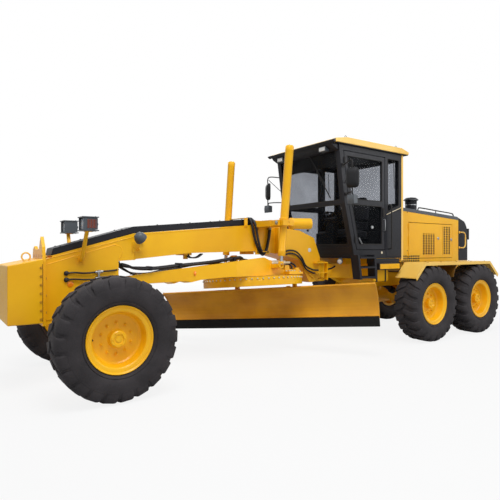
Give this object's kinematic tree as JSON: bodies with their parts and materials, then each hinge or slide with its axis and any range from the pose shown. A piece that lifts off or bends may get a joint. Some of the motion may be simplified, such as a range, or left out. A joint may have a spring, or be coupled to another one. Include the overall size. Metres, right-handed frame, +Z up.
{
  "type": "motor grader",
  "caption": "Articulated motor grader with tandem drive wheels, leaning steered front wheels, rear cab, and a blade on a turning circle under an arched frame.",
  "frame": {"origin": "on the ground under the middle of the machine, at the centre of the bottom of its box", "axes": "+X forward, +Y to the left, +Z up"},
  "size_m": [8.9423, 3.2884, 3.465],
  "materials": {
    "yellow_paint": "gloss",
    "dark_paint": "satin",
    "tyre_rubber": "matt",
    "rod_chrome": "polished",
    "engine_iron": "matt",
    "seat_fabric": "matt",
    "window_glass": "clear",
    "lamp_glass": "clear",
    "black_hose": "matt",
    "mirror_glass": "polished",
    "cutting_steel": "satin",
    "orange_lens": "gloss",
    "black_plastic": "matt"
  },
  "bodies": {
    "rear_frame": {"rear_frame": "yellow_paint", "rear_axle": "yellow_paint", "cab_shell": "dark_paint", "cab_roof": "yellow_paint", "operator_seat": "seat_fabric", "steering_console": "dark_paint", "hood_shell": "yellow_paint", "engine_block": "engine_iron", "intake_stack": "dark_paint", "step_left": "dark_paint", "step_right": "dark_paint", "mirror_left": "dark_paint", "mirror_right": "dark_paint"},
    "front_frame": {"main_beam": "yellow_paint", "beam_cover": "dark_paint", "front_weight": "yellow_paint", "lift_saddle": "yellow_paint", "headlamp_left": "dark_paint", "headlamp_right": "dark_paint"},
    "front_axle": {"axle_beam": "yellow_paint"},
    "lean_left": {"lean_bracket_left": "yellow_paint"},
    "lean_right": {"lean_bracket_right": "yellow_paint"},
    "lean_link": {"lean_bar": "yellow_paint"},
    "steer_left": {"knuckle_left": "yellow_paint"},
    "steer_right": {"knuckle_right": "yellow_paint"},
    "tie_rod_joint": {"tie_rod_end": "rod_chrome"},
    "tie_rod_bar": {"tie_rod": "rod_chrome"},
    "tandem_left": {"tandem_box_left": "yellow_paint", "fender_left": "yellow_paint"},
    "tandem_right": {"tandem_box_right": "yellow_paint", "fender_right": "yellow_paint"},
    "drawbar_swivel": {"drawbar_ball": "rod_chrome"},
    "drawbar_frame": {"drawbar": "yellow_paint"},
    "circle_table": {"circle": "yellow_paint"},
    "blade_tilt": {"blade_carrier": "yellow_paint"},
    "blade": {"moldboard": "yellow_paint"},
    "wheel_front_left": {"tyre_front_left": "tyre_rubber", "rim_front_left": "yellow_paint"},
    "wheel_front_right": {"tyre_front_right": "tyre_rubber", "rim_front_right": "yellow_paint"},
    "wheel_middle_left": {"tyre_middle_left": "tyre_rubber", "rim_middle_left": "yellow_paint"},
    "wheel_rear_left": {"tyre_rear_left": "tyre_rubber", "rim_rear_left": "yellow_paint"},
    "wheel_middle_right": {"tyre_middle_right": "tyre_rubber", "rim_middle_right": "yellow_paint"},
    "wheel_rear_right": {"tyre_rear_right": "tyre_rubber", "rim_rear_right": "yellow_paint"},
    "lift_gimbal_left": {"lift_yoke_left": "yellow_paint"},
    "lift_cylinder_left": {"lift_barrel_left": "yellow_paint"},
    "lift_piston_left": {"lift_rod_left": "rod_chrome"},
    "lift_gimbal_right": {"lift_yoke_right": "yellow_paint"},
    "lift_cylinder_right": {"lift_barrel_right": "yellow_paint"},
    "lift_piston_right": {"lift_rod_right": "rod_chrome"},
    "cab_door_left": {"door_left": "dark_paint"},
    "cab_door_right": {"door_right": "dark_paint"},
    "side_panel_left": {"engine_door_left": "yellow_paint"},
    "side_panel_right": {"engine_door_right": "yellow_paint"}
  },
  "joints": [
    {"name": "articulation", "type": "hinge", "parent": "rear_frame", "child": "front_frame", "pos_m": [-0.45, 0, 1.265], "axis": [0, 0, -1], "range_deg": [-25, 25]},
    {"name": "axle_oscillation", "type": "hinge", "parent": "front_frame", "child": "front_axle", "pos_m": [3.5, 0, 0.745], "axis": [1, 0, 0], "range_deg": [-15, 15]},
    {"name": "wheel_lean", "type": "hinge", "parent": "front_axle", "child": "lean_left", "pos_m": [3.5, 0.8, 0.6], "axis": [-1, 0, 0], "range_deg": [-17, 17]},
    {"name": "wheel_lean_right", "type": "hinge", "parent": "front_axle", "child": "lean_right", "pos_m": [3.5, -0.8, 0.6], "axis": [-1, 0, 0], "range_deg": [-17, 17]},
    {"name": "lean_link_pin", "type": "hinge", "parent": "lean_left", "child": "lean_link", "pos_m": [3.313, 0.8, 0.86], "axis": [-1, 0, 0], "range_deg": [-17, 17]},
    {"name": "steering", "type": "hinge", "parent": "lean_left", "child": "steer_left", "pos_m": [3.5, 0.8, 0.6], "axis": [0, 0, 1], "range_deg": [-42, 42]},
    {"name": "steering_right", "type": "hinge", "parent": "lean_right", "child": "steer_right", "pos_m": [3.5, -0.8, 0.6], "axis": [0, 0, 1], "range_deg": [-42, 42]},
    {"name": "tie_rod_swivel", "type": "hinge", "parent": "steer_left", "child": "tie_rod_joint", "pos_m": [3.26, 0.8, 0.516], "axis": [0, 0, 1], "range_deg": [-42, 42]},
    {"name": "tie_rod_level", "type": "hinge", "parent": "tie_rod_joint", "child": "tie_rod_bar", "pos_m": [3.223, 0.8, 0.516], "axis": [-1, 0, 0], "range_deg": [-17, 17]},
    {"name": "spin_front_left", "type": "hinge", "parent": "steer_left", "child": "wheel_front_left", "pos_m": [3.5, 1.0775, 0.675], "axis": [0, 1, 0], "continuous": true},
    {"name": "spin_front_right", "type": "hinge", "parent": "steer_right", "child": "wheel_front_right", "pos_m": [3.5, -1.0775, 0.675], "axis": [0, 1, 0], "continuous": true},
    {"name": "tandem_left_pivot", "type": "hinge", "parent": "rear_frame", "child": "tandem_left", "pos_m": [-2.95, 0.735, 0.72], "axis": [0, 1, 0], "range_deg": [-15, 15]},
    {"name": "spin_middle_left", "type": "hinge", "parent": "tandem_left", "child": "wheel_middle_left", "pos_m": [-2.18, 1.0775, 0.675], "axis": [0, 1, 0], "continuous": true},
    {"name": "spin_rear_left", "type": "hinge", "parent": "tandem_left", "child": "wheel_rear_left", "pos_m": [-3.72, 1.0775, 0.675], "axis": [0, 1, 0], "continuous": true},
    {"name": "tandem_right_pivot", "type": "hinge", "parent": "rear_frame", "child": "tandem_right", "pos_m": [-2.95, -0.735, 0.72], "axis": [0, 1, 0], "range_deg": [-15, 15]},
    {"name": "spin_middle_right", "type": "hinge", "parent": "tandem_right", "child": "wheel_middle_right", "pos_m": [-2.18, -1.0775, 0.675], "axis": [0, 1, 0], "continuous": true},
    {"name": "spin_rear_right", "type": "hinge", "parent": "tandem_right", "child": "wheel_rear_right", "pos_m": [-3.72, -1.0775, 0.675], "axis": [0, 1, 0], "continuous": true},
    {"name": "drawbar_shift", "type": "hinge", "parent": "front_frame", "child": "drawbar_swivel", "pos_m": [3.05, 0, 1.22], "axis": [0, 0, 1], "range_deg": [-12, 12]},
    {"name": "drawbar_lift", "type": "hinge", "parent": "drawbar_swivel", "child": "drawbar_frame", "pos_m": [3.05, 0, 1.22], "axis": [0, 1, 0], "range_deg": [-24, 1.5]},
    {"name": "circle_turn", "type": "hinge", "parent": "drawbar_frame", "child": "circle_table", "pos_m": [0.9, 0.00947, 1.11794], "axis": [0, -0.0924, 0.9957], "continuous": true},
    {"name": "blade_tip", "type": "hinge", "parent": "circle_table", "child": "blade_tilt", "pos_m": [0.4478, -0.20585, 0.57824], "axis": [-0.5045, 0.8597, 0.0798], "range_deg": [-4.5, 22]},
    {"name": "blade_shift", "type": "slide", "parent": "blade_tilt", "child": "blade", "axis": [0.5045, -0.8597, -0.0798], "range_m": [-0.6, 0.6]},
    {"name": "lift_swing_left", "type": "hinge", "parent": "front_frame", "child": "lift_gimbal_left", "pos_m": [0.88, 0.775, 2.03], "axis": [1, 0, 0], "range_deg": [-36, 36]},
    {"name": "lift_rock_left", "type": "hinge", "parent": "lift_gimbal_left", "child": "lift_cylinder_left", "pos_m": [0.88, 0.775, 2.03], "axis": [0, 1, 0], "range_deg": [-4, 3]},
    {"name": "lift_stroke_left", "type": "slide", "parent": "lift_cylinder_left", "child": "lift_piston_left", "axis": [0.0792, -0.0214, -0.9966], "range_m": [-0.07, 0.9]},
    {"name": "lift_swing_right", "type": "hinge", "parent": "front_frame", "child": "lift_gimbal_right", "pos_m": [0.88, -0.775, 2.03], "axis": [1, 0, 0], "range_deg": [-36, 36]},
    {"name": "lift_rock_right", "type": "hinge", "parent": "lift_gimbal_right", "child": "lift_cylinder_right", "pos_m": [0.88, -0.775, 2.03], "axis": [0, 1, 0], "range_deg": [-4, 3]},
    {"name": "lift_stroke_right", "type": "slide", "parent": "lift_cylinder_right", "child": "lift_piston_right", "axis": [0.0646, -0.0089, -0.9979], "range_m": [-0.07, 0.9]},
    {"name": "cab_door_left_hinge", "type": "hinge", "parent": "rear_frame", "child": "cab_door_left", "pos_m": [-1.385, 0.812, 2.445], "axis": [0, 0, 1], "range_deg": [0, 100]},
    {"name": "cab_door_right_hinge", "type": "hinge", "parent": "rear_frame", "child": "cab_door_right", "pos_m": [-1.385, -0.812, 2.445], "axis": [0, 0, -1], "range_deg": [0, 100]},
    {"name": "engine_door_left_hinge", "type": "hinge", "parent": "rear_frame", "child": "side_panel_left", "pos_m": [-2.4, 0.562, 1.817], "axis": [0, 0, -1], "range_deg": [0, 95]},
    {"name": "engine_door_right_hinge", "type": "hinge", "parent": "rear_frame", "child": "side_panel_right", "pos_m": [-2.4, -0.562, 1.817], "axis": [0, 0, 1], "range_deg": [0, 95]}
  ],
  "couplings": [
    {"joint": "wheel_lean_right", "follows": "wheel_lean", "ratio": 1},
    {"joint": "lean_link_pin", "follows": "wheel_lean", "ratio": -1},
    {"joint": "tie_rod_level", "follows": "wheel_lean", "ratio": -1},
    {"joint": "steering_right", "follows": "steering", "ratio": 1},
    {"joint": "tie_rod_swivel", "follows": "steering", "ratio": -1},
    {"joint": "lift_swing_left", "follows": "drawbar_shift", "ratio": -2.98},
    {"joint": "lift_swing_right", "follows": "drawbar_shift", "ratio": -2.55},
    {"joint": "lift_rock_left", "follows": "drawbar_lift", "ratio": -0.019},
    {"joint": "lift_rock_right", "follows": "drawbar_lift", "ratio": 0.106},
    {"joint": "lift_stroke_left", "follows": "drawbar_lift", "m_per_rad": -2.117},
    {"joint": "lift_stroke_right", "follows": "drawbar_lift", "m_per_rad": -2.107}
  ]
}
